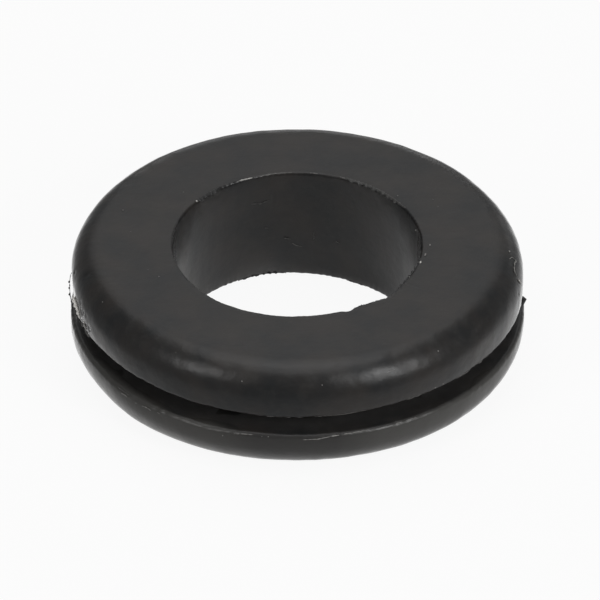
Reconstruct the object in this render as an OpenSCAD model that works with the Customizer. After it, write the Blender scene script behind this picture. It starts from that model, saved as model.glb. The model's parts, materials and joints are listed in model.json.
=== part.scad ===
// Rubber grommet: one moulded ring with a through bore, two rounded flanges
// and the panel groove between them. It lies on its lower face, with +Z along
// the bore and the origin at the centre of that face. Millimetres.

/* [Bore] */
// Diameter of the through bore
bore_d = 15.9; // [12:0.1:18]
// Rounding of the bore's two edges
bore_edge_r = 0.15; // [0.05:0.01:0.4]

/* [Flanges] */
// Diameter of both flanges at their widest
flange_d = 28.6; // [26.5:0.1:34]
// Thickness of the upper flange, from its face to the groove
upper_flange_t = 3.45; // [2.9:0.05:4.5]
// Thickness of the lower flange, from its face to the groove
lower_flange_t = 3.05; // [2.9:0.05:4.5]
// Radius of the shoulder between the upper flange's face and its rim
upper_shoulder_r = 2; // [0.5:0.1:2.5]
// Radius of the shoulder between the lower flange's face and its rim
lower_shoulder_r = 2.4; // [0.5:0.1:2.5]
// Radius of the shallow bulge from a shoulder to the groove's lip
rim_bulge_r = 7.5; // [6:0.5:30]
// Rounding of the groove's two lips
lip_r = 0.28; // [0.05:0.01:0.3]

/* [Panel groove] */
// Diameter of the groove's floor, which fills the hole in the panel
groove_floor_d = 22.2; // [19:0.1:24]
// Width between the two flanges, relaxed
groove_w = 1.2; // [0.8:0.05:2.4]
// Fillet where the groove's floor meets its two walls
groove_fillet_r = 0.2; // [0.05:0.01:0.35]

/* [Hidden] */
$fn = 128;
height = lower_flange_t + groove_w + upper_flange_t;
bore_r = bore_d / 2;
flange_r = flange_d / 2;
groove_floor_r = groove_floor_d / 2;
// How far a cutting outline runs past the rubber
past = 1;

// The point at this distance and angle from a centre
function polar(centre, r, angle) = centre + r * [cos(angle), sin(angle)];

// Turns the corner between two directions from centre into an arc of radius r
module round_corner(centre, r, from, to) {
    middle = (from + to) / 2;
    difference() {
        children();
        difference() {
            polygon([
                centre,
                polar(centre, 2 * r, from),
                polar(centre, 3 * r, middle),
                polar(centre, 2 * r, to)
            ]);
            translate(centre) circle(r);
        }
    }
}

// Half section of a flange, with its face at the bottom and its groove wall
// on top: a shoulder arc, then a bulged rim up to a rounded lip
module flange_section(t, shoulder_r) {
    bulge_centre = [flange_r - rim_bulge_r, shoulder_r];
    inner_r = rim_bulge_r - lip_r;
    lip_angle = asin((t - lip_r - shoulder_r) / inner_r);
    lip_centre = polar(bulge_centre, inner_r, lip_angle);
    round_corner(lip_centre, lip_r, lip_angle, 90)
    round_corner([flange_r - shoulder_r, shoulder_r], shoulder_r, -90, 0)
    intersection() {
        translate([bore_r, 0]) square([flange_r - bore_r, t]);
        union() {
            translate([bore_r, 0]) square([flange_r - bore_r, shoulder_r]);
            translate(bulge_centre) circle(rim_bulge_r);
        }
    }
}

// Outline of the panel groove, which runs out past both rims
module groove_section() {
    f = groove_fillet_r;
    round_corner([groove_floor_r + f, lower_flange_t + f], f, 180, 270)
    round_corner([groove_floor_r + f, lower_flange_t + groove_w - f], f, 90, 180)
    translate([groove_floor_r, lower_flange_t])
    square([flange_r - groove_floor_r + past, groove_w]);
}

// Half section of the whole ring, from the bore's wall outwards
module ring_section() {
    e = bore_edge_r;
    round_corner([bore_r + e, e], e, 180, 270)
    round_corner([bore_r + e, height - e], e, 90, 180)
    difference() {
        union() {
            translate([bore_r, 0])
            square([groove_floor_r + groove_fillet_r - bore_r, height]);
            flange_section(lower_flange_t, lower_shoulder_r);
            translate([0, height]) mirror([0, 1])
            flange_section(upper_flange_t, upper_shoulder_r);
        }
        groove_section();
    }
}

module grommet() {
    color("#2b2b2a") rotate_extrude() ring_section();
}

grommet();
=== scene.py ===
"""Looks of the black rubber grommet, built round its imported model.

The ring is one moulded piece. Its surface is a closed section carried round the
bore's axis, z, with the small faults of the moulding worked into it. The thin flash
along its parting edges, with its torn threads and crumbs, is a piece of its own.
Lengths are in millimetres and angles in degrees here, and a mesh is made in metres.
Angles run round the ring: 0 is its right, 90 its back and -90 its front.
"""

import json
import math

import bpy
import numpy as np
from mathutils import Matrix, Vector


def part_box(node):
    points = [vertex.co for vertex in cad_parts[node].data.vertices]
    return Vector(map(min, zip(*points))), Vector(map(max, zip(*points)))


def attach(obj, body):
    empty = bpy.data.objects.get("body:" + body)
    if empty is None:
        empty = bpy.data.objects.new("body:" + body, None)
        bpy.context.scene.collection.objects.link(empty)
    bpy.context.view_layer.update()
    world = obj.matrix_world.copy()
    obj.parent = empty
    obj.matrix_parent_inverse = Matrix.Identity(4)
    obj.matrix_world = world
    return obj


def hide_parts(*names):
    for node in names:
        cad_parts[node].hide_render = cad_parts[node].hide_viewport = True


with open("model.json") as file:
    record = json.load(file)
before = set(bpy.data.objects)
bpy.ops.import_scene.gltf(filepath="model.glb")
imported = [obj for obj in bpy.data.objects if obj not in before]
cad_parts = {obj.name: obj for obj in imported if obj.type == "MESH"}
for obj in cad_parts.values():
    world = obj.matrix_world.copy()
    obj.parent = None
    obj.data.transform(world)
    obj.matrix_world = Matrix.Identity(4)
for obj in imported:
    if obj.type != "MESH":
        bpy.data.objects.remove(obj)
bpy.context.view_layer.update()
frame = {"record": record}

MM = 0.001
TAU = 2 * math.pi

# ---------------------------------------------------------------- sizes, from the frame

BODY = "root"
NODE = "grommet"
mounts = {mount["name"]: mount for mount in frame["record"]["mounts"]}
far_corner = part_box(NODE)[1]
HEIGHT = far_corner.z / MM
FLANGE_R = far_corner.x / MM
BORE_R = mounts["bore"]["dims"]["r_mm"]
GROOVE_R = mounts["panel_groove"]["dims"]["r_mm"]
GROOVE_W = mounts["panel_groove"]["dims"]["length_mm"]
GROOVE_MIDDLE = mounts["panel_groove"]["pos_m"][2] / MM
LOWER_LIP_Z = GROOVE_MIDDLE - GROOVE_W / 2
UPPER_LIP_Z = GROOVE_MIDDLE + GROOVE_W / 2

# The radii of the section's arcs
BORE_EDGE = 0.15
UPPER_SHOULDER = 2.0
LOWER_SHOULDER = 2.4
RIM_BULGE = 7.5
LIP_EDGE = 0.28
GROOVE_FILLET = 0.2
# The two halves of the mould differ a little in diameter
UPPER_RIM_R = FLANGE_R - 0.04
LOWER_RIM_R = FLANGE_R + 0.07
# How many points each stretch of the section has. The faces in view have more of them
LIP_POINTS = 6
LOWER_RIM_POINTS = 6
UPPER_RIM_POINTS = 9
LOWER_SHOULDER_POINTS = 13
UPPER_SHOULDER_POINTS = 27
FILLET_POINTS = 4
EDGE_POINTS = 5
LOWER_FACE_POINTS = 5
UPPER_FACE_POINTS = 12
GROOVE_WALL_POINTS = 6
GROOVE_FLOOR_POINTS = 3
BORE_POINTS = 14


# ---------------------------------------------------------------- section

def arc(centre, radius, start, end, count):
    """Points on a circle from one angle to another."""
    angle = np.radians(np.linspace(start, end, count))
    return np.stack([centre[0] + radius * np.cos(angle), centre[1] + radius * np.sin(angle)], 1)


def line(start, end, count):
    """Points on a straight line."""
    share = np.linspace(0, 1, count)[:, None]
    return np.array(start) * (1 - share) + np.array(end) * share


def eased_line(start, end, count):
    """Points on a straight line, closer together towards both of its ends."""
    share = (1 - np.cos(np.linspace(0, math.pi, count)))[:, None] / 2
    return np.array(start) * (1 - share) + np.array(end) * share


def rim(flange_r, shoulder_z, lip_z, side, count):
    """The bulged rim and its rounded lip, from the shoulder to the groove's wall. The rim
    is an arc of RIM_BULGE that leaves the shoulder upright, and the lip's small arc
    touches both it and the groove's wall. side is 1 where the lip is above the shoulder
    and -1 where it is below."""
    rise = abs(lip_z - shoulder_z) - LIP_EDGE
    lean = math.degrees(math.asin(rise / (RIM_BULGE - LIP_EDGE)))
    lip_r = flange_r - RIM_BULGE + (RIM_BULGE - LIP_EDGE) * math.cos(math.radians(lean))
    return np.concatenate([
        arc((flange_r - RIM_BULGE, shoulder_z), RIM_BULGE, 0, side * lean, count)[:-1],
        arc((lip_r, lip_z - side * LIP_EDGE), LIP_EDGE, side * lean, side * 90, LIP_POINTS),
    ])


def section():
    """The whole closed section, as points of radius and height, with the rubber on the
    left of the way it runs: out over the lower face, up the rims, back over the upper
    face and down the bore."""
    lower_shoulder = (LOWER_RIM_R - LOWER_SHOULDER, LOWER_SHOULDER)
    upper_shoulder = (UPPER_RIM_R - UPPER_SHOULDER, HEIGHT - UPPER_SHOULDER)
    lower_rim = rim(LOWER_RIM_R, LOWER_SHOULDER, LOWER_LIP_Z, 1, LOWER_RIM_POINTS)
    upper_rim = rim(UPPER_RIM_R, upper_shoulder[1], UPPER_LIP_Z, -1, UPPER_RIM_POINTS)[::-1]
    fillet_r = GROOVE_R + GROOVE_FILLET
    lower_fillet = (fillet_r, LOWER_LIP_Z + GROOVE_FILLET)
    upper_fillet = (fillet_r, UPPER_LIP_Z - GROOVE_FILLET)
    edge_r = BORE_R + BORE_EDGE
    stretches = [
        line((edge_r, 0), (lower_shoulder[0], 0), LOWER_FACE_POINTS),
        arc(lower_shoulder, LOWER_SHOULDER, -90, 0, LOWER_SHOULDER_POINTS),
        lower_rim,
        line(lower_rim[-1], (fillet_r, LOWER_LIP_Z), GROOVE_WALL_POINTS),
        arc(lower_fillet, GROOVE_FILLET, 270, 180, FILLET_POINTS),
        line((GROOVE_R, lower_fillet[1]), (GROOVE_R, upper_fillet[1]), GROOVE_FLOOR_POINTS),
        arc(upper_fillet, GROOVE_FILLET, 180, 90, FILLET_POINTS),
        line((fillet_r, UPPER_LIP_Z), upper_rim[0], GROOVE_WALL_POINTS),
        upper_rim,
        arc(upper_shoulder, UPPER_SHOULDER, 0, 90, UPPER_SHOULDER_POINTS),
        line((upper_shoulder[0], HEIGHT), (edge_r, HEIGHT), UPPER_FACE_POINTS),
        arc((edge_r, HEIGHT - BORE_EDGE), BORE_EDGE, 90, 180, EDGE_POINTS),
        eased_line((BORE_R, HEIGHT - BORE_EDGE), (BORE_R, BORE_EDGE), BORE_POINTS),
        arc((edge_r, BORE_EDGE), BORE_EDGE, 180, 270, EDGE_POINTS),
    ]
    return np.concatenate([stretch[:-1] for stretch in stretches])


# ---------------------------------------------------------------- meshes

def quads(rows, columns, closed_rows):
    """Faces of a grid of rows by columns, as index quadruples. The columns close round, and
    so do the rows where closed_rows is true."""
    row = np.arange(rows if closed_rows else rows - 1)[:, None]
    column = np.arange(columns)[None, :]
    next_row = (row + 1) % rows
    next_column = (column + 1) % columns
    corners = [row * columns + column, row * columns + next_column,
               next_row * columns + next_column, next_row * columns + column]
    return np.stack(np.broadcast_arrays(*corners), -1).reshape(-1, 4)


def make_mesh(name, points, faces, material):
    """A smooth mesh from an array of points in millimetres and a list of faces."""
    mesh = bpy.data.meshes.new(name)
    mesh.from_pydata((points * MM).tolist(), [], faces)
    mesh.update()
    mesh.shade_smooth()
    mesh.materials.append(material)
    piece = bpy.data.objects.new(name, mesh)
    bpy.context.scene.collection.objects.link(piece)
    return piece


def dress(piece):
    """Sets a piece on the body, so that it rides on it, and hides the CAD ring that it stands for.
    """
    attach(piece, BODY)
    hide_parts(NODE)


# ---------------------------------------------------------------- unevenness

# How many sines or plane waves make up a ripple or a swell, and how much longer or shorter
# than its length the waves of a swell are
WAVES = 24
SWELL_RANGE = (0.7, 1.4)


def rises(angle, places):
    """A line round the ring that is the sum of smooth rises, each given by its angle, the
    angle over which it falls away, and its height."""
    total = np.zeros_like(angle)
    for middle, spread, height in places:
        away = (angle - middle + 180) % 360 - 180
        total += height * np.exp(-(away / spread) ** 2)
    return total


def ripple(angle, coarsest, finest, seed):
    """A wavy line round the ring whose mean square is 1: the sum of seeded sines that run
    from coarsest to finest times round."""
    random = np.random.default_rng(seed)
    counts = random.integers(coarsest, finest, WAVES)
    phases = random.uniform(0, TAU, WAVES)
    return np.sin(np.radians(angle)[:, None] * counts + phases).sum(-1) / math.sqrt(WAVES / 2)


def swell(points, length, seed):
    """Soft waves in space whose mean square is 1: the sum of seeded plane waves, each of
    about the given length."""
    random = np.random.default_rng(seed)
    ways = random.normal(size=(3, WAVES))
    ways *= TAU / length / np.linalg.norm(ways, axis=0) / random.uniform(*SWELL_RANGE, WAVES)
    phases = random.uniform(0, TAU, WAVES)
    return np.sin(points @ ways + phases).sum(-1) / math.sqrt(WAVES / 2)


def round_place(angle, radius, height):
    """Points in space from an angle, a radius and a height, which may be arrays."""
    turn = np.radians(angle)
    return np.stack(np.broadcast_arrays(radius * np.cos(turn), radius * np.sin(turn), height), -1)


# Soft unevenness of the whole skin: its wavelength and its height
SWELLS = ((4.0, 0.010), (1.3, 0.004), (0.6, 0.0012))
# The upper face stands this much higher at both sides than at its front, and twice this at
# its back
BACK_RISE = 0.03
# How far round an edge its raggedness and its rises reach, in the section, and how many
# times round the ring its coarsest and its finest ripples run
RAGGED_SPREAD = 0.14
RISE_SPREAD = 0.4
RAGGED_COUNTS = (20, 160)
RAGGED_SEED = 11
# Where each lip stands high or low, and where the rubber at each edge stands out or in:
# the angle, how far round and how much
UPPER_LIP_RISES = ((-98, 16, -0.06), (-142, 12, 0.07), (-58, 14, 0.07), (-37, 6, 0.10),
                   (-12, 8, -0.05))
LOWER_LIP_RISES = ((-141, 15, -0.17), (-112, 6, -0.12), (-32, 10, -0.07))
UPPER_LIP_FLARES = ((-8, 22, 0.13),)
LOWER_LIP_FLARES = ((-15, 40, 0.05), (-165, 40, -0.04))
BORE_TOP_FLARES = ((-130, 22, 0.10), (-66, 2.5, 0.15), (-44, 9, 0.24))
LOWER_RIM_FLARES = ((-128, 26, 0.13), (-42, 20, 0.08), (-152, 7, -0.06))
BORE_FOOT_FLARES = ((60, 35, -0.17), (104, 9, 0.13), (132, 10, -0.07))
# The edges where the mould parts, and the lower rim, which only flares: radius, height,
# raggedness, rises, flares, and how far the flares reach in the section
LOWER_LIP = (LOWER_RIM_R - 0.10, LOWER_LIP_Z - 0.09, 0.014, LOWER_LIP_RISES, LOWER_LIP_FLARES, 2.0)
UPPER_LIP = (UPPER_RIM_R - 0.19, UPPER_LIP_Z + 0.10, 0.010, UPPER_LIP_RISES, UPPER_LIP_FLARES, 2.0)
BORE_TOP = (BORE_R + 0.05, HEIGHT - 0.05, 0.008, (), BORE_TOP_FLARES, 0.8)
BORE_FOOT = (BORE_R + 0.05, 0.05, 0.012, (), BORE_FOOT_FLARES, 0.8)
LOWER_RIM = (LOWER_RIM_R - 0.3, 1.2, 0.0, (), LOWER_RIM_FLARES, 1.5)
EDGES = (UPPER_LIP, LOWER_LIP, BORE_TOP, BORE_FOOT, LOWER_RIM)
# The wall of the bore is drawn in a little all round, more at its front than at its back,
# and the skin beside it follows over this distance
BORE_DRAWN = 0.075
BORE_SHIFT = 0.07
BORE_SPREAD = 1.2


def settle(angle, radius, height):
    """Where a place of the true ring lies once the ring has left its mould: the back stands
    higher, the bore is drawn in, and each half rises and flares near its own edges. Nothing
    goes below the floor."""
    back = np.sin(np.radians(angle))
    drawn = np.exp(-((radius - BORE_R) / BORE_SPREAD) ** 2) * (BORE_DRAWN - BORE_SHIFT * back)
    new_r = radius - drawn
    new_z = height * (1 + BACK_RISE * (1 + back) / HEIGHT)
    for edge_r, edge_z, _, lifts, flares, flare_spread in EDGES:
        away = np.hypot(radius - edge_r, height - edge_z)
        own_half = (height > GROOVE_MIDDLE) == (edge_z > GROOVE_MIDDLE)
        new_r = new_r + own_half * np.exp(-(away / flare_spread) ** 2) * rises(angle, flares)
        new_z = new_z + own_half * np.exp(-(away / RISE_SPREAD) ** 2) * rises(angle, lifts)
    return new_r, np.maximum(new_z, 0)


# How many places of the section are tried to find the nearest
SKIN_PLACES = 4000


def rest_on_skin(angle, radius, height):
    """The same angle, with the radius and height of the section's point nearest to those
    given."""
    outline = section()
    closed = np.concatenate([outline, outline[:1]])
    mileage = np.cumsum(np.linalg.norm(np.diff(closed, axis=0, prepend=closed[:1]), axis=1))
    marks = np.linspace(0, mileage[-1], SKIN_PLACES)
    skin = np.stack([np.interp(marks, mileage, part) for part in closed.T], 1)
    nearest = skin[np.linalg.norm(skin - (radius, height), axis=1).argmin()]
    return angle, nearest[0], nearest[1]


# Small pits in the skin: angle, radius, height, width and depth
PITS = (
    (-103.9, 14.19, 6.20, 0.16, 0.07),
    (-99.5, 14.16, 6.32, 0.12, 0.06),
    (-97.6, 14.20, 6.14, 0.13, 0.07),
    (-95.2, 14.19, 6.20, 0.14, 0.07),
    (-36.2, 13.91, 6.83, 0.16, 0.06),
    (-29.6, 13.88, 6.88, 0.13, 0.05),
    (-174.2, 14.13, 6.40, 0.14, 0.06),
    (-168.1, 13.55, 7.23, 0.20, 0.05),
    (-11.6, 14.24, 5.97, 0.12, 0.05),
    (-31.5, 8.40, 7.70, 0.12, 0.06),
    (13.0, 9.52, 7.70, 0.10, 0.03),
    (8.5, 9.90, 7.70, 0.10, 0.03),
    (3.8, 10.36, 7.70, 0.10, 0.03),
    (-1.5, 10.85, 7.70, 0.10, 0.03),
    (-6.1, 11.35, 7.70, 0.10, 0.03),
    (95.2, 7.95, 2.55, 0.20, 0.05),
    (88.3, 7.95, 1.38, 0.16, 0.05),
    (92.0, 7.95, 2.10, 0.14, 0.05),
    (104.5, 7.95, 5.79, 0.12, 0.05),
    (101.2, 7.95, 5.88, 0.12, 0.05),
    (15.0, 7.95, 7.20, 0.16, 0.08),
    # The torn patch of the upper rim on the left
    (-163.5, 14.25, 5.90, 0.16, 0.07),
    (-160.5, 14.25, 5.70, 0.12, 0.07),
    (-162.0, 14.25, 5.35, 0.16, 0.08),
    (-158.5, 14.25, 5.75, 0.12, 0.06),
    (-159.5, 14.20, 4.75, 0.20, 0.09),
    (-157.0, 14.25, 5.10, 0.18, 0.07),
    (-162.5, 14.15, 4.60, 0.20, 0.09),
)

# How many columns the ring has, and how much closer they stand at the front
ROUND = 860
FRONT_CROWDING = 0.35


def ring(material):
    """The grommet. The section is turned round z, with its columns crowded towards the
    front, so that point (i, j) lies at the section's i-th place and the j-th angle. Each
    point then moves along the section's own normal by the soft swells less the pits,
    settles, and near each parting edge is ragged."""
    outline = section()
    along = np.roll(outline, -1, 0) - np.roll(outline, 1, 0)
    along /= np.linalg.norm(along, axis=1)[:, None]
    steps = np.arange(ROUND) * TAU / ROUND
    angle = np.degrees(steps - FRONT_CROWDING * np.cos(steps))
    radius = outline[:, :1] + 0 * angle
    height = outline[:, 1:] + 0 * angle
    smooth = round_place(angle, radius, height)
    lift = sum(rise * swell(smooth, length, seed) for seed, (length, rise) in enumerate(SWELLS))
    for pit_angle, pit_r, pit_z, width, depth in PITS:
        away = np.linalg.norm(smooth - round_place(pit_angle, pit_r, pit_z), axis=-1)
        lift -= depth * np.exp(-(away / width) ** 2)
    radius += lift * along[:, 1:]
    height -= lift * along[:, :1]
    radius, height = settle(angle, radius, height)
    for seed, (edge_r, edge_z, ragged, *_) in enumerate(EDGES, RAGGED_SEED):
        away = np.linalg.norm(outline - (edge_r, edge_z), axis=1)[:, None]
        wave = ripple(angle, *RAGGED_COUNTS, seed)
        radius += np.exp(-(away / RAGGED_SPREAD) ** 2) * ragged * wave
    points = round_place(angle, radius, height).reshape(-1, 3)
    return make_mesh("rubber_ring", points, quads(len(outline), ROUND, True).tolist(), material)


# ---------------------------------------------------------------- flash

# One column of a fin or a thread stands about this far from the next
FLASH_STEP = 0.05
# A fin's section, in pairs of points: how far out each lies, as a share of the fin's reach
# or, where it is sunk in the skin, of its thickness, and how thick the fin is there
FIN_OUT = np.array([-0.35, 0.0, 0.45, 0.85, 1.0])
FIN_HALF = np.array([0.9, 1.0, 0.75, 0.45, 0.12])
# How fast a fin rises from its ends, where 4 would be a plain arch, and the least share of
# its reach that it has there
FIN_RISE = 9
FIN_LEAST = 0.03
# How many times round the ring the ripples of its notches and of its lean run, from the
# coarsest to the finest, and how far the lean of a fully notched fin wanders
NOTCH_COUNTS = (20, 150)
LEAN_COUNTS = (40, 300)
LEAN_WANDER = 28
LEAN_SEED = 50
# The sides of a thread, how much its thickness varies, with how many waves in a millimetre
# at most and how many along it at least, the square of the share of it that is left at both
# ends, and a way that no thread runs along
TUBE_SIDES = 6
THREAD_UNEVEN = 0.3
WAVES_PER_MM = 4
FEWEST_WAVES = 2
THREAD_END = 0.01
ASKEW = (0.3, 0.2, 0.93)
# The fewest columns of a fin and of a thread
FIN_COLUMNS = 8
THREAD_COLUMNS = 7
# The attribute of the flash's points that holds how pale each is painted for its glints
GLINT_ATTRIBUTE = "scuff"
flash_parts = []


def keep(rows, painted_glint):
    """Keeps a closed body for the flash: its points, which lie in rings along it, its faces with
    both ends capped, numbered on from the bodies kept before it, and how pale it is painted as a
    glint."""
    count, sides = rows.shape[:2]
    start = sum(len(points) for points, _, _ in flash_parts)
    caps = start + np.array([np.arange(sides)[::-1], (count - 1) * sides + np.arange(sides)])
    faces = (start + quads(count, sides, False)).tolist() + caps.tolist()
    flash_parts.append((rows.reshape(-1, 3), faces, painted_glint))


def fin(edge, start, end, reach, lean, notch, thick, painted_glint, seed):
    """A fin squeezed out of a parting edge, from one angle to another. Its section is a
    wedge that leaves the edge at lean in the plane of radius and height, and its reach
    rises fast from nothing at both ends and is cut into by a ripple. One without a notch
    is a pointed tab."""
    edge_r, edge_z = edge[:2]
    length = abs(end - start) * edge_r * TAU / 360
    share = np.linspace(0, 1, max(FIN_COLUMNS, int(length / FLASH_STEP)))
    angle = start + (end - start) * share
    swing = 0.5 + 0.5 * np.clip(ripple(angle, *NOTCH_COUNTS, seed), -1, 1)
    profile = FIN_RISE * share * (1 - share) if notch else 1 - abs(2 * share - 1)
    tall = reach * np.clip(profile, FIN_LEAST, 1) * (1 - notch * swing)
    lean = np.radians(lean + LEAN_WANDER * notch * ripple(angle, *LEAN_COUNTS, seed + LEAN_SEED))
    out = np.concatenate([FIN_OUT, FIN_OUT[::-1]])
    half = np.concatenate([FIN_HALF, -FIN_HALF[::-1]]) * thick / 2
    forward = np.where(out > 0, out * tall[:, None], out * thick)
    edge_r, edge_z = settle(angle, edge_r, edge_z)
    radius = edge_r[:, None] + forward * np.cos(lean)[:, None] - half * np.sin(lean)[:, None]
    height = edge_z[:, None] + forward * np.sin(lean)[:, None] + half * np.cos(lean)[:, None]
    keep(round_place(angle[:, None], radius, np.maximum(height, 0)), painted_glint)


def thread(thick, painted_glint, path, seed):
    """A round thread of rubber through a few places of angle, radius and height. It runs
    straight from one to the next, softened by a moving mean, and each ring of points lies
    square to it. Its thickness swells and thins by about a third and closes nearly to a
    point at both ends."""
    angles, radii, heights = np.array(path).T
    corners = round_place(angles, *settle(angles, radii, heights))
    mileage = np.concatenate([[0], np.cumsum(np.linalg.norm(np.diff(corners, axis=0), axis=1))])
    count = max(THREAD_COLUMNS, int(mileage[-1] / FLASH_STEP))
    marks = np.linspace(0, mileage[-1], count)
    middle = np.stack([np.interp(marks, mileage, corner) for corner in corners.T], 1)
    padded = np.concatenate([middle[:1], middle, middle[-1:]])
    middle = (padded[:-2] + padded[1:-1] + padded[2:]) / 3
    along = np.gradient(middle, axis=0)
    along /= np.linalg.norm(along, axis=1)[:, None]
    across = np.cross(along, ASKEW)
    across /= np.linalg.norm(across, axis=1)[:, None]
    third = np.cross(along, across)
    share = np.linspace(0, 1, count)
    most_waves = max(FEWEST_WAVES + 1, int(mileage[-1] * WAVES_PER_MM))
    uneven = 1 + THREAD_UNEVEN * ripple(share * 360, FEWEST_WAVES, most_waves + 1, seed)
    half = thick / 2 * uneven * np.sqrt(np.clip(4 * share * (1 - share), THREAD_END, 1))
    turn = np.arange(TUBE_SIDES) * TAU / TUBE_SIDES
    side = across[:, None] * np.cos(turn)[:, None] + third[:, None] * np.sin(turn)[:, None]
    keep(middle[:, None] + side * half[:, None, None], painted_glint)


def crumb(size, painted_glint, angle, radius, height, seed):
    """A crumb half sunk in the skin at the place nearest to that given: a short thick
    thread."""
    angle, radius, height = rest_on_skin(angle, radius, height)
    half_turn = math.degrees(size / radius) / 2
    ends = ((angle - half_turn, radius, height), (angle + half_turn, radius, height))
    thread(size, painted_glint, ends, seed)


# Fins along the edges: edge, start, end, reach, lean, notch, thickness, and how pale each is
# painted for its glints
FINS = (
    # The tab of the lower lip on the right
    (LOWER_LIP, 0.5, 5.5, 0.30, 20, 0.0, 0.14, 0.0),
    # The ragged stretch of the upper lip on the left
    (UPPER_LIP, -166.0, -156.5, 0.18, -35, 0.6, 0.10, 0.10),
    # Shorter fins of both lips
    (UPPER_LIP, -47.0, -31.0, 0.10, -35, 0.8, 0.06, 0.10),
    (UPPER_LIP, -66.0, -54.0, 0.07, -45, 0.8, 0.05, 0.10),
    (UPPER_LIP, -101.0, -87.0, 0.06, -60, 0.9, 0.05, 0.06),
    (UPPER_LIP, 40.0, 58.0, 0.10, -30, 0.8, 0.06, 0.05),
    (UPPER_LIP, 118.0, 131.0, 0.12, -25, 0.8, 0.06, 0.05),
    (LOWER_LIP, -142.0, -137.0, 0.08, 50, 0.8, 0.05, 0.08),
    (LOWER_LIP, -64.0, -58.0, 0.08, 55, 0.8, 0.05, 0.25),
    (LOWER_LIP, 70.0, 84.0, 0.10, 35, 0.8, 0.06, 0.05),
    # The flap of the bore's edge at the near right, and the fringes round it
    (BORE_TOP, -63.5, -47.0, 0.14, 178, 0.4, 0.14, 0.0),
    (BORE_TOP, -40.0, -12.0, 0.14, 165, 0.7, 0.10, 0.0),
    (BORE_TOP, 31.0, 68.0, 0.20, 205, 0.6, 0.16, 0.04),
    (BORE_TOP, 128.5, 143.0, 0.22, 195, 0.3, 0.16, 0.0),
    (BORE_TOP, 160.0, 184.0, 0.08, 180, 0.8, 0.08, 0.0),
    (BORE_FOOT, 95.0, 118.0, 0.12, 180, 0.7, 0.10, 0.0),
    (BORE_FOOT, 56.0, 66.0, 0.08, 180, 0.8, 0.08, 0.0),
    (BORE_FOOT, -140.0, -120.0, 0.10, 180, 0.8, 0.08, 0.0),
)
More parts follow.
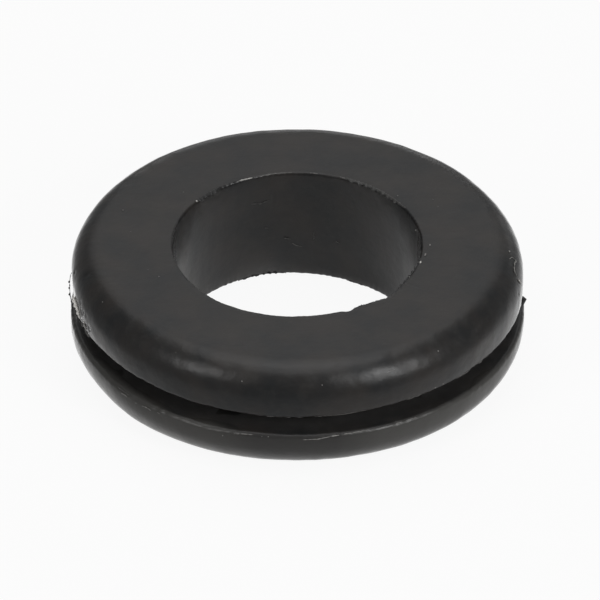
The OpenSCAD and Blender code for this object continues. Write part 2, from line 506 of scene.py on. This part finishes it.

# Threads: thickness, how pale each is painted for its glints, and places of angle, radius and
# height
THREADS = (
    # The thread torn from the lower lip on the left, which hangs just outside it
    (0.05, 0.0, ((-174.5, 14.27, 3.00), (178.5, 14.34, 3.05), (176.0, 14.45, 3.10),
                 (173.5, 14.53, 3.15), (171.5, 14.60, 3.25), (169.5, 14.65, 3.35),
                 (167.0, 14.60, 3.50), (165.0, 14.50, 3.60))),
    (0.12, 0.05, ((175.9, 14.49, 3.14), (176.6, 14.47, 3.07))),
    (0.10, 0.05, ((173.3, 14.57, 3.19), (174.0, 14.55, 3.12))),
    (0.12, 0.05, ((171.3, 14.65, 3.29), (172.0, 14.62, 3.22))),
    # The bead that runs down the upper rim's left side, painted white as a glint
    (0.22, 1.5, ((-171.5, 14.30, 5.15), (-170.0, 14.31, 5.13), (-167.5, 14.31, 5.16),
                 (-166.0, 14.30, 5.04), (-165.0, 14.26, 4.80), (-164.5, 14.20, 4.50))),
    # The torn skin beside it
    (0.09, 0.22, ((-163.0, 14.24, 5.75), (-163.3, 14.25, 5.45), (-163.0, 14.25, 5.20))),
    (0.08, 0.25, ((-161.5, 14.24, 5.60), (-161.0, 14.25, 5.30))),
    (0.13, 0.40, ((-161.0, 14.24, 4.90), (-160.0, 14.22, 4.70), (-159.0, 14.20, 4.55))),
    # Squiggles on the lower flange's upper face
    (0.05, 0.20, ((-175.0, 14.15, 3.06), (-174.5, 14.10, 3.06), (-173.0, 14.05, 3.06),
                  (-171.5, 14.10, 3.06))),
    (0.05, 0.20, ((-172.0, 13.95, 3.06), (-171.0, 13.85, 3.06))),
    # The curl stuck to the shoulder on the right
    (0.07, 0.22, ((-4.3, 13.43, 7.34), (-2.6, 13.57, 7.23), (-2.3, 13.70, 7.10),
                  (-2.7, 13.84, 6.94), (-4.1, 13.76, 7.05), (-7.0, 13.80, 7.00),
                  (-7.8, 13.90, 6.88), (-7.9, 14.04, 6.66))),
    (0.09, 0.40, ((-8.2, 14.08, 6.60), (-8.4, 14.14, 6.42), (-8.0, 14.20, 6.25),
                  (-7.6, 14.25, 6.08))),
    # The hair along the lower lip's front, and its torn bits
    (0.055, 0.30, ((-88.5, 14.38, 2.76), (-84.5, 14.38, 2.78), (-81.0, 14.34, 2.90),
                   (-77.5, 14.31, 2.95), (-71.0, 14.29, 2.98))),
    (0.045, 0.30, ((-106.0, 14.36, 2.84), (-103.5, 14.33, 2.91), (-100.8, 14.33, 2.92))),
    (0.055, 0.22, ((-132.5, 14.38, 2.72), (-131.5, 14.38, 2.80), (-130.0, 14.38, 2.77),
                   (-129.3, 14.38, 2.68))),
    (0.045, 0.15, ((-127.5, 14.38, 2.80), (-126.3, 14.38, 2.76))),
    (0.05, 0.25, ((-140.2, 14.38, 2.78), (-138.4, 14.38, 2.84), (-137.6, 14.38, 2.74))),
    (0.035, 0.16, ((-85.5, 14.11, 4.34), (-78.0, 14.11, 4.32), (-69.5, 14.11, 4.35))),
    # A painted glint in the right highlight of the shoulder
    (0.03, 0.20, ((-66.5, 13.94, 6.79), (-65.0, 13.93, 6.83), (-63.5, 13.92, 6.85))),
    # Small marks on the bore's far wall
    (0.06, 0.10, ((92.9, 7.93, 2.40), (90.5, 7.93, 2.15), (87.5, 7.93, 2.05))),
    (0.07, 0.08, ((96.5, 7.93, 2.75), (93.0, 7.93, 2.65))),
    (0.05, 0.08, ((105.5, 7.93, 3.70), (103.5, 7.93, 3.60))),
    (0.06, 0.06, ((82.3, 7.93, 3.35), (82.3, 7.93, 2.65))),
    (0.05, 0.12, ((72.0, 7.93, 2.75), (70.0, 7.93, 2.65))),
    (0.07, 0.03, ((112.0, 7.93, 5.70), (107.0, 7.93, 5.60), (103.0, 7.93, 5.75))),
    # Painted highlights along the bore's upper edge
    (0.07, 0.45, ((119.0, 7.97, 7.68), (115.5, 7.95, 7.69), (111.0, 7.93, 7.69))),
    (0.05, 0.15, ((109.0, 7.98, 7.69), (100.0, 7.98, 7.70), (92.0, 7.98, 7.70))),
    (0.05, 0.18, ((84.5, 7.98, 7.70), (80.5, 7.98, 7.70))),
    (0.05, 0.15, ((70.5, 7.98, 7.70), (66.5, 7.98, 7.70))),
    (0.10, 0.30, ((-6.4, 8.26, 7.71), (-8.6, 8.24, 7.71))),
    (0.12, 0.65, ((-12.6, 8.12, 7.70), (-14.6, 8.10, 7.68))),
)

# Crumbs: size, how pale each is painted for its glints, angle, radius and height
CRUMBS = (
    (0.13, 0.9, -26.3, 7.92, 7.66),
    (0.12, 0.6, 143.2, 8.00, 7.69),
    (0.11, 0.5, 17.6, 7.93, 7.16),
    (0.09, 0.5, 0.0, 8.46, 7.70),
    (0.10, 0.15, 40.6, 8.40, 7.70),
    (0.09, 0.12, 141.8, 9.22, 7.70),
    (0.10, 0.20, 161.5, 11.65, 7.70),
    (0.08, 0.20, -157.3, 9.46, 7.70),
    (0.08, 0.15, -154.6, 13.55, 7.23),
    (0.09, 0.12, 30.4, 9.97, 7.70),
    (0.08, 0.10, 25.5, 9.88, 7.70),
    (0.09, 0.35, -83.4, 14.02, 6.65),
    (0.08, 0.30, -104.1, 14.01, 6.67),
    (0.08, 0.35, -50.0, 13.82, 6.95),
    (0.11, 0.30, -0.6, 13.41, 7.34),
    (0.07, 0.20, -98.6, 14.38, 2.88),
    (0.07, 0.35, -97.0, 14.38, 2.92),
    (0.08, 0.30, -108.7, 14.37, 2.56),
    (0.06, 0.25, -134.5, 14.37, 2.70),
    (0.07, 0.30, -62.2, 14.37, 2.90),
    (0.06, 0.20, -60.0, 14.20, 4.45),
    (0.06, 0.15, -57.0, 14.20, 4.50),
    (0.09, 0.30, -52.0, 14.20, 4.50),
    (0.09, 0.35, -49.5, 14.22, 4.55),
    (0.15, 0.80, -160.5, 14.20, 4.95),
    (0.09, 0.20, -162.5, 14.20, 4.80),
    (0.09, 0.10, -156.5, 14.20, 4.90),
    (0.08, 0.10, -158.5, 14.15, 4.35),
)


def flash(material):
    """All that is left of the flash: the fins, threads and crumbs as one piece, with how pale each
    is painted for its glints kept as an attribute of its points."""
    for make, table in ((fin, FINS), (thread, THREADS), (crumb, CRUMBS)):
        for seed, values in enumerate(table):
            make(*values, seed)
    points, faces, painted_glints = zip(*flash_parts)
    piece = make_mesh("parting_flash", np.concatenate(points), sum(faces, []), material)
    # How pale each point is painted, standing in for the glints and highlights on the flash
    glint_levels = np.repeat(painted_glints, [len(part) for part in points])
    scuff = piece.data.attributes.new(GLINT_ATTRIBUTE, "FLOAT", "POINT")
    scuff.data.foreach_set("value", glint_levels.astype(np.float32))
    return piece


# ---------------------------------------------------------------- materials

def to_linear(code):
    """An sRGB hex colour as linear red, green, blue and a full alpha."""
    part = np.array([int(code[i:i + 2], 16) for i in (1, 3, 5)]) / 255
    linear = np.where(part <= 0.04045, part / 12.92, ((part + 0.055) / 1.055) ** 2.4)
    return (*linear.tolist(), 1.0)


def add_node(tree, kind, settings=(), inputs=()):
    """Adds a node, its kind named without ShaderNode, and sets its attributes. The inputs
    are a dictionary by name or number, or stand in the node's own order. Each is a value,
    an output socket, or a node, which gives its first output."""
    node = tree.nodes.new("ShaderNode" + kind)
    for key, value in dict(settings).items():
        setattr(node, key, value)
    for key, value in inputs.items() if isinstance(inputs, dict) else enumerate(inputs):
        if isinstance(value, bpy.types.Node):
            value = value.outputs[0]
        if isinstance(value, bpy.types.NodeSocket):
            tree.links.new(value, node.inputs[key])
        else:
            node.inputs[key].default_value = value
    return node


def new_tree(name):
    """An empty material and its node tree."""
    material = bpy.data.materials.new(name)
    material.use_nodes = True
    material.node_tree.nodes.clear()
    return material, material.node_tree


# What moulded rubber shows of itself, in millimetres: clouds of bloom and a finer mottle,
# the orange peel of the mould's wall, its fine grit, pits left by trapped air, and scuffs,
# with the way that these run. The grit is drawn at about two pixels of the render, coarser
# than the real one
CLOUD_MM = 2.6
MOTTLE_MM = 0.8
PEEL_MM = 0.42
PEEL_DEPTH_MM = 0.006
GRIT_MM = 0.13
GRIT_DEPTH_MM = 0.0022
PIT_SPACING_MM = 1.5
PIT_WIDTH_MM = 0.07
PIT_DEPTH_MM = 0.03
SCUFF_SPACING_MM = 0.22
SCUFF_LENGTH_MM = 4.0
SCUFF_TURN = 25
# The share of the cells that hold a pit, and how much of that share holds shallower ones
PIT_CHANCE = 0.3
PIT_CHOICE = 0.02
# The skin's colour runs from cool to warm between two levels of the clouds, and is paler
# by up to a share between two levels of the mottle
SKIN_COOL = "#18191a"
SKIN_WARM = "#252220"
CLOUD_LEVELS = (0.35, 0.65)
SKIN_PALE = "#2a2927"
PALE_LEVELS = (0.5, 0.8)
PALE_SHARE = 0.6
# The painted light of the lower flange and of the groove lies on the ring's outside: none within
# the first of these radii, and all of it from the second outwards
OUTER_RADII = (BORE_R + 1, GROOVE_R - 1)
# The lower flange is painted paler, as painted light from the bright floor, full this far below its
# lip. To both sides it is paler still, as a painted sheen, between these distances from the middle
FLOOR_LIGHT_DROP = 0.1
PAINTED_FLOOR_LIGHT_FRONT = "#2c2b2a"
PAINTED_SHEEN_SIDE = "#3c3b39"
PAINTED_SHEEN_SPAN = (2.5, 5.5)
# The groove is painted paler, as painted light that lifts its deep shade: thin at the lip and full
# from this radius inwards, and the mottle thins it down to a share. It reaches this far past the
# groove's walls
GROOVE_PAINTED_LIGHT = "#474645"
GROOVE_LIGHT_FULL_R = 12.5
GROOVE_LIGHT_AT_LIP = 0.15
GROOVE_LIGHT_THINNED = 0.7
GROOVE_LIGHT_PAST = 0.02
# Roughness between two levels of the mottle, and what scuffs add between two of theirs
MOTTLE_LEVELS = (0.3, 0.7)
ROUGHNESS = (0.30, 0.38)
SCUFF_LEVELS = (0.6, 0.75)
SCUFF_ROUGHNESS = 0.08
# Seen at a slant, rubber turns glossier: from where this begins, and to what share
GRAZE_START = 0.72
GRAZE_SHARE = 0.2
RUBBER_IOR = 1.45
# Torn rubber, where it is whole and where it is painted pale for the glints and highlights that
# catch it, and how far the mottle changes that paleness
TORN_DARK = "#1f1f1f"
PAINTED_GLINT_PALE = "#e2dfda"
TORN_ROUGHNESS = 0.42
TORN_SHARES = (0.7, 1.1)


# A Mix node set to mix colours, and the numbers of its share, its colours and its result
COLOUR_MIX = {"data_type": "RGBA"}
SHARE, FIRST, SECOND, MIXED = 0, 6, 7, 2


def place_in_mm(tree):
    """Nodes for the place on the ring, in millimetres."""
    place = add_node(tree, "TexCoord").outputs["Object"]
    return add_node(tree, "VectorMath", {"operation": "SCALE"}, {"Vector": place, "Scale": 1 / MM})


def mottle_pattern(tree, place):
    """The fine mottle that the whole and the torn rubber share."""
    inputs = {"Vector": place, "Scale": 1 / MOTTLE_MM, "Detail": 4.0, "Roughness": 0.6}
    return add_node(tree, "TexNoise", {}, inputs)


def skin_colour(tree, place, mottle):
    """Nodes for the skin's colour: clouds of bloom and mottle, painted floor light on the outside
    of the lower flange with a painted sheen to both sides, and painted light in the groove's deep
    shade."""
    across, _, height = add_node(tree, "SeparateXYZ", {}, (place,)).outputs
    flat = add_node(tree, "VectorMath", {"operation": "MULTIPLY"}, (place, (1, 1, 0)))
    radius = add_node(tree, "VectorMath", {"operation": "LENGTH"}, (flat,)).outputs["Value"]
    cloud = add_node(tree, "TexNoise", {}, {"Vector": place, "Scale": 1 / CLOUD_MM, "Detail": 3.0})

    warm = add_node(tree, "MapRange", {}, (cloud, *CLOUD_LEVELS, 0, 1))
    skin = add_node(tree, "Mix", COLOUR_MIX, {
        SHARE: warm, FIRST: to_linear(SKIN_COOL), SECOND: to_linear(SKIN_WARM)}).outputs[MIXED]
    pale = add_node(tree, "MapRange", {}, (mottle, *PALE_LEVELS, 0, PALE_SHARE))
    skin = add_node(tree, "Mix", COLOUR_MIX, {
        SHARE: pale, FIRST: skin, SECOND: to_linear(SKIN_PALE)}).outputs[MIXED]

    # Painted floor light on the outside of the lower flange, paler to both sides as a painted sheen
    outside = add_node(tree, "MapRange", {}, (radius, *OUTER_RADII, 0, 1))
    below = add_node(tree, "MapRange", {}, (height, LOWER_LIP_Z, LOWER_LIP_Z - FLOOR_LIGHT_DROP, 0, 1))
    painted_floor_light = add_node(tree, "Math", {"operation": "MULTIPLY"}, (below, outside))
    across = add_node(tree, "Math", {"operation": "ABSOLUTE"}, (across,))
    sheen_share = add_node(tree, "MapRange", {}, (across, *PAINTED_SHEEN_SPAN, 0, 1))
    painted_light_colour = add_node(tree, "Mix", COLOUR_MIX, {
        SHARE: sheen_share, FIRST: to_linear(PAINTED_FLOOR_LIGHT_FRONT), SECOND: to_linear(PAINTED_SHEEN_SIDE)}).outputs[MIXED]
    skin = add_node(tree, "Mix", COLOUR_MIX, {
        SHARE: painted_floor_light, FIRST: skin, SECOND: painted_light_colour}).outputs[MIXED]

    # Painted light in the groove's deep shade
    groove_light = add_node(tree, "MapRange", {}, (radius, UPPER_LIP[0], GROOVE_LIGHT_FULL_R, GROOVE_LIGHT_AT_LIP, 1))
    within = add_node(tree, "Math", {"operation": "COMPARE"},
                      (height, GROOVE_MIDDLE, GROOVE_W / 2 + GROOVE_LIGHT_PAST))
    thinned = add_node(tree, "MapRange", {}, (mottle, *MOTTLE_LEVELS, GROOVE_LIGHT_THINNED, 1))
    for part in (within, outside, thinned):
        groove_light = add_node(tree, "Math", {"operation": "MULTIPLY"}, (groove_light, part))
    return add_node(tree, "Mix", COLOUR_MIX, {
        SHARE: groove_light, FIRST: skin, SECOND: to_linear(GROOVE_PAINTED_LIGHT)}).outputs[MIXED]


def skin_roughness(tree, place, mottle):
    """Nodes for the skin's roughness: duller in the mottle and in scuffs, and glossier where
    it is seen at a slant."""
    streaks = add_node(tree, "Mapping", {}, {
        "Vector": place, "Rotation": (0, 0, math.radians(SCUFF_TURN)),
        "Scale": (1 / SCUFF_LENGTH_MM, 1 / SCUFF_SPACING_MM, 1)})
    scuff = add_node(tree, "TexNoise", {}, {"Vector": streaks, "Scale": 1.0, "Detail": 2.0})
    scuff = add_node(tree, "MapRange", {}, (scuff, *SCUFF_LEVELS, 0, SCUFF_ROUGHNESS))
    rough = add_node(tree, "MapRange", {}, (mottle, *MOTTLE_LEVELS, *ROUGHNESS))
    rough = add_node(tree, "Math", {"operation": "ADD"}, (rough, scuff))
    turned = add_node(tree, "LayerWeight", {}, {"Blend": 0.5}).outputs["Facing"]
    graze = add_node(tree, "MapRange", {}, (turned, GRAZE_START, 1, 1, GRAZE_SHARE))
    return add_node(tree, "Math", {"operation": "MULTIPLY"}, (rough, graze))


def skin_relief(tree, place):
    """Nodes for the skin's relief: the mould's orange peel and grit, less the pits."""
    peel = add_node(tree, "TexNoise", {}, {"Vector": place, "Scale": 1 / PEEL_MM, "Detail": 1.0})
    peel = add_node(tree, "MapRange", {}, (peel, 0, 1, 0, 2 * PEEL_DEPTH_MM))
    grit = add_node(tree, "TexNoise", {}, {"Vector": place, "Scale": 1 / GRIT_MM, "Detail": 1.0})
    grit = add_node(tree, "MapRange", {}, (grit, 0, 1, 0, 2 * GRIT_DEPTH_MM))
    relief = add_node(tree, "Math", {"operation": "ADD"}, (peel, grit))
    cells = add_node(tree, "TexVoronoi", {}, {"Vector": place, "Scale": 1 / PIT_SPACING_MM})
    chosen = add_node(tree, "SeparateColor", {}, (cells.outputs["Color"],))
    chosen = add_node(tree, "MapRange", {}, (
        chosen, 1 - PIT_CHANCE, 1 - PIT_CHANCE + PIT_CHOICE, 0, PIT_DEPTH_MM))
    hollow = add_node(tree, "MapRange", {}, (
        cells.outputs["Distance"], 0, PIT_WIDTH_MM / PIT_SPACING_MM, 1, 0))
    pits = add_node(tree, "Math", {"operation": "MULTIPLY"}, (hollow, chosen))
    relief = add_node(tree, "Math", {"operation": "SUBTRACT"}, (relief, pits))
    return add_node(tree, "Bump", {}, {"Height": relief, "Strength": 1.0, "Distance": MM})


def moulded_rubber():
    """Carbon-black vulcanised rubber, as it leaves a compression mould: nearly black and half dull,
    with a soft broad gloss. Bloom clouds it slightly warm and cool, the mould's wall gives it a
    faint orange peel and grit, and trapped air leaves a few pits. Deep in the groove it is painted
    grey, as painted light in the shade there, and the lower flange is painted greyer as painted
    light of the floor, more so to both sides as a painted sheen."""
    material, tree = new_tree("moulded_black_rubber")
    place = place_in_mm(tree)
    mottle = mottle_pattern(tree, place)
    shader = add_node(tree, "BsdfPrincipled", {}, {
        "Base Color": skin_colour(tree, place, mottle), "IOR": RUBBER_IOR,
        "Roughness": skin_roughness(tree, place, mottle), "Normal": skin_relief(tree, place)})
    add_node(tree, "OutputMaterial", {}, {"Surface": shader})
    return material


def torn_rubber():
    """The same rubber where the flash was torn off: duller, and painted pale by its own attribute
    where glints and highlights catch its threads and crumbs."""
    material, tree = new_tree("torn_black_rubber")
    mottle = mottle_pattern(tree, place_in_mm(tree))
    glint_share = add_node(tree, "Attribute", {"attribute_name": GLINT_ATTRIBUTE}).outputs["Fac"]
    varied = add_node(tree, "MapRange", {}, (mottle, *MOTTLE_LEVELS, *TORN_SHARES))
    glint_share = add_node(tree, "Math", {"operation": "MULTIPLY"}, (glint_share, varied))
    colour = add_node(tree, "Mix", COLOUR_MIX, {
        SHARE: glint_share, FIRST: to_linear(TORN_DARK), SECOND: to_linear(PAINTED_GLINT_PALE)}).outputs[MIXED]
    shader = add_node(tree, "BsdfPrincipled", {}, {
        "Base Color": colour, "Roughness": TORN_ROUGHNESS, "IOR": RUBBER_IOR})
    add_node(tree, "OutputMaterial", {}, {"Surface": shader})
    return material


# ---------------------------------------------------------------- studio

FLOOR_HALF = 3000.0
FLOOR_COLOUR = "#dcdcdc"
DARK = "#000000"
WHITE = (1, 1, 1, 1)
# How much of what the camera sees of the floor is plain white
CAMERA_SHARE = 0.92
# The painted pool of light that the rubber's gloss finds on the floor, a glow that only reflections
# see: its middle, and the distances from there between which it fades to this share, painted as a
# dim room beyond
POOL_MIDDLE = (4.0, 11.0)
POOL_BRIGHT = 4.0
POOL_DIM = 36.0
DIM_LEVEL = 0.16
# Close round the ring's foot the painted glow stays white, and fades between these distances from a
# middle a little behind the bore's
FOOT_MIDDLE = (-0.8, 2.0)
FOOT_BRIGHT = 15.5
FOOT_DIM = 18.0
# The ring's painted contact shadow in the glow at its foot: the radii between which it lifts from
# this share
CONTACT_DARK = 12.5
CONTACT_CLEAR = 15.5
CONTACT_SHARE = 0.5
# Inside the bore the painted glow rises from none at the middle, and along the foot of the wall it
# lifts faster, from this radius outwards and to this share
WALL_GLOW_START = 5.7
WALL_GLOW_SHARE = 1.0


def painted_light_pool(tree):
    """Nodes for how near to the grommet a place on the floor is, where the painted pool of light
    lies, and for how much of the ring's painted shade it is spared."""
    place = add_node(tree, "TexCoord").outputs["Object"]
    from_pool, from_foot, radius = [
        add_node(tree, "VectorMath", {"operation": "DISTANCE"},
                 (place, (x * MM, y * MM, 0))).outputs["Value"]
        for x, y in (POOL_MIDDLE, FOOT_MIDDLE, (0, 0))]
    pool = add_node(tree, "MapRange", {}, (
        from_pool, POOL_BRIGHT * MM, POOL_DIM * MM, 1, DIM_LEVEL))
    foot = add_node(tree, "MapRange", {}, (from_foot, FOOT_BRIGHT * MM, FOOT_DIM * MM, 1, 0))
    near = add_node(tree, "Math", {"operation": "MAXIMUM"}, (pool, foot))
    lifting = add_node(tree, "MapRange", {}, (
        radius, CONTACT_DARK * MM, CONTACT_CLEAR * MM, CONTACT_SHARE, 1))
    falling = add_node(tree, "MapRange", {}, (
        radius, BORE_R * MM, CONTACT_DARK * MM, 1, CONTACT_SHARE))
    painted_contact_shade = add_node(tree, "Math", {"operation": "MAXIMUM"}, (lifting, falling))
    middle = add_node(tree, "MapRange", {}, (radius, 0, FLANGE_R * MM, 0, 1))
    wall_glow = add_node(tree, "MapRange", {}, (
        radius, WALL_GLOW_START * MM, BORE_R * MM, 0, WALL_GLOW_SHARE))
    inside = add_node(tree, "Math", {"operation": "MAXIMUM"}, (middle, wall_glow))
    painted_shade = add_node(tree, "Math", {"operation": "MINIMUM"}, (inside, painted_contact_shade))
    return near, painted_shade


def make_floor():
    """A pale floor. The camera sees it nearly as plain white, with the grommet's soft shadow still
    in it. Reflections and rays through glass see a painted pool of light on it: a glow, white round
    the grommet, with painted shade towards the bore's middle and at the ring's foot, fading into a
    painted dim room."""
    material, tree = new_tree("pale_floor")
    path = add_node(tree, "LightPath").outputs
    near, painted_shade = painted_light_pool(tree)

    # What the camera sees, which reflections see painted dark far from the grommet
    mirrored = add_node(tree, "Math", {"operation": "MAXIMUM"}, (
        path["Is Glossy Ray"], path["Is Transmission Ray"]))
    far = add_node(tree, "MapRange", {}, (near, 0, 1, 1, 0))
    painted_dark_share = add_node(tree, "Math", {"operation": "MULTIPLY"}, (mirrored, far))
    colour = add_node(tree, "Mix", COLOUR_MIX, {
        SHARE: painted_dark_share, FIRST: to_linear(FLOOR_COLOUR), SECOND: to_linear(DARK)}).outputs[MIXED]
    diffuse = add_node(tree, "BsdfDiffuse", {}, {"Color": colour})
    white = add_node(tree, "Emission", {}, {"Color": WHITE, "Strength": 1.0})
    whitened = add_node(tree, "Math", {"operation": "MULTIPLY"}, (
        path["Is Camera Ray"], CAMERA_SHARE))
    seen = add_node(tree, "MixShader", {}, (whitened, diffuse, white))

    # What only reflections see: the painted pool of light, a glow with painted shade
    strength = add_node(tree, "Math", {"operation": "MULTIPLY"}, (near, painted_shade))
    strength = add_node(tree, "Math", {"operation": "MULTIPLY"}, (mirrored, strength))
    glow = add_node(tree, "Emission", {}, {"Color": WHITE, "Strength": strength})
    both = add_node(tree, "AddShader", {}, (seen, glow))
    add_node(tree, "OutputMaterial", {}, {"Surface": both})
    half = FLOOR_HALF
    points = np.array([(-half, -half, 0), (half, -half, 0), (half, half, 0), (-half, half, 0)])
    floor = make_mesh("floor", points, [[0, 1, 2, 3]], material)


# The radiance of the surroundings
WORLD_LEVEL = 0.20


def make_world():
    """Soft white surroundings."""
    world = bpy.data.worlds.new("studio")
    world.use_nodes = True
    tree = world.node_tree
    tree.nodes.clear()
    back = add_node(tree, "Background", {}, {"Color": WHITE, "Strength": WORLD_LEVEL})
    add_node(tree, "OutputWorld", {}, {"Surface": back})
    bpy.context.scene.world = world


# How steeply the camera looks down, its roll and its distance from the ring's middle, the
# frame's size and scale, where the ring's middle lies in it, the sensor's width, and the
# nearest and farthest that it sees
CAMERA_RISE = 34.81
CAMERA_ROLL = 0.301
CAMERA_DISTANCE = 1200.0
FRAME_PIXELS = 600
PIXELS_PER_MM = 15.79
CENTRE_PIXEL = (296.86, 294.72)
SENSOR = 36.0
CLIP_METRES = (0.01, 100)


def make_camera():
    """A long lens from the front, looking down at the ring's middle."""
    data = bpy.data.cameras.new("camera")
    data.sensor_width = SENSOR
    data.lens = PIXELS_PER_MM * CAMERA_DISTANCE * SENSOR / FRAME_PIXELS
    data.shift_x = 0.5 - CENTRE_PIXEL[0] / FRAME_PIXELS
    data.shift_y = CENTRE_PIXEL[1] / FRAME_PIXELS - 0.5
    data.clip_start, data.clip_end = CLIP_METRES
    camera = bpy.data.objects.new("camera", data)
    rise = math.radians(CAMERA_RISE)
    camera.location = (0, -CAMERA_DISTANCE * math.cos(rise) * MM,
                       (HEIGHT / 2 + CAMERA_DISTANCE * math.sin(rise)) * MM)
    camera.rotation_mode = "ZYX"
    camera.rotation_euler = (math.pi / 2 - rise, 0, math.radians(CAMERA_ROLL))
    bpy.context.scene.collection.objects.link(camera)
    bpy.context.scene.camera = camera


LAMP_DISTANCE = 1000.0
# The key light from the front right, the fill from the front left, and lights from above
# and behind: name, azimuth, elevation, width, height and radiance
LAMPS = (
    ("key", -44, 30, 16, 27, 1.65),
    ("key_core", -44, 31, 13, 12, 11.0),
    ("key_halo", -44, 30, 26, 40, 1.6),
    ("key_low", -44, 14, 20, 10, 5.35),
    ("fill", 221, 31, 14, 27, 1.9),
    ("fill_low", 220, 27, 12, 24, 3.9),
    ("overhead", 90, 88, 46, 60, 1.2),
    ("overhead_core", 90, 86, 60, 14, 0.73),
    ("back", 92, 50, 48, 22, 0.54),
    ("back_low", 90, 32, 60, 16, 0.47),
    ("backdrop", 90, 5, 20, 9, 1.58),
    ("backdrop_right", 60, 6, 20, 10, 0.58),
)


def soft_box(name, azimuth, elevation, width, height, radiance):
    """A rectangular soft box LAMP_DISTANCE from the grommet and turned to it. Its direction
    and its size are angles seen from the grommet, in degrees, and its radiance is that of
    its face."""
    direction = Vector((math.cos(math.radians(elevation)) * math.cos(math.radians(azimuth)),
                        math.cos(math.radians(elevation)) * math.sin(math.radians(azimuth)),
                        math.sin(math.radians(elevation))))
    data = bpy.data.lights.new(name, "AREA")
    data.shape = "RECTANGLE"
    data.size = 2 * LAMP_DISTANCE * MM * math.tan(math.radians(width / 2))
    data.size_y = 2 * LAMP_DISTANCE * MM * math.tan(math.radians(height / 2))
    data.energy = radiance * math.pi * data.size * data.size_y
    lamp = bpy.data.objects.new(name, data)
    lamp.location = direction * LAMP_DISTANCE * MM
    lamp.rotation_mode = "QUATERNION"
    lamp.rotation_quaternion = (-direction).to_track_quat("-Z", "Y")
    bpy.context.scene.collection.objects.link(lamp)


dress(ring(moulded_rubber()))
dress(flash(torn_rubber()))

make_floor()
make_world()
make_camera()
for lamp in LAMPS:
    soft_box(*lamp)

bpy.context.scene.view_settings.view_transform = "Standard"
